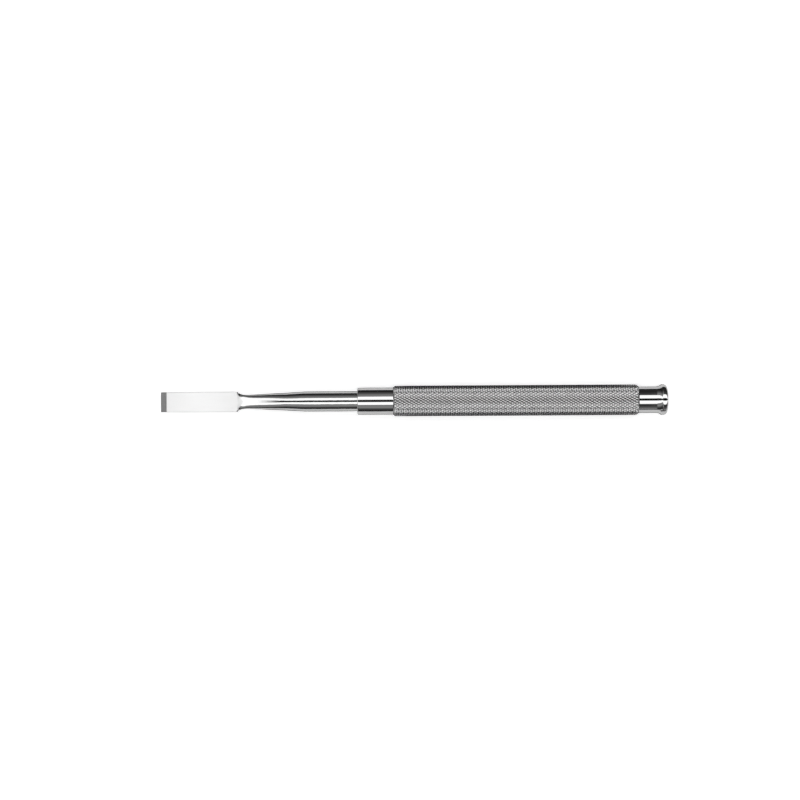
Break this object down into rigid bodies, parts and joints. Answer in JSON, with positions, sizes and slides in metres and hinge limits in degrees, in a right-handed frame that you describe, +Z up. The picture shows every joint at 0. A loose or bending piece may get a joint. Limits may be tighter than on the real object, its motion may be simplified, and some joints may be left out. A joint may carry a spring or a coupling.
{
  "type": "bone chisel",
  "caption": "Hand-held surgical bone chisel: flat single-bevel blade on a tapered round shank, set in a straight knurled handle with a smooth collar and a flared end to be struck.",
  "frame": {"origin": "on the table under the middle of the tool's length, with the tool lying on its grip", "axes": "+X along the tool towards the struck end, blade at -X; +Z up, square to the blade's flat, bevel upwards; +Y across the blade"},
  "size_m": [0.156, 0.0094, 0.0095],
  "materials": {
    "blade_steel": "hardened stainless steel, shank mirror polished, blade satin, bevel freshly ground and darker",
    "handle_steel": "stainless steel, collar and struck end turned and mirror polished, grip with a fine diamond knurl"
  },
  "bodies": {
    "root": {"working_end": "blade_steel", "handle": "handle_steel"}
  },
  "joints": []
}
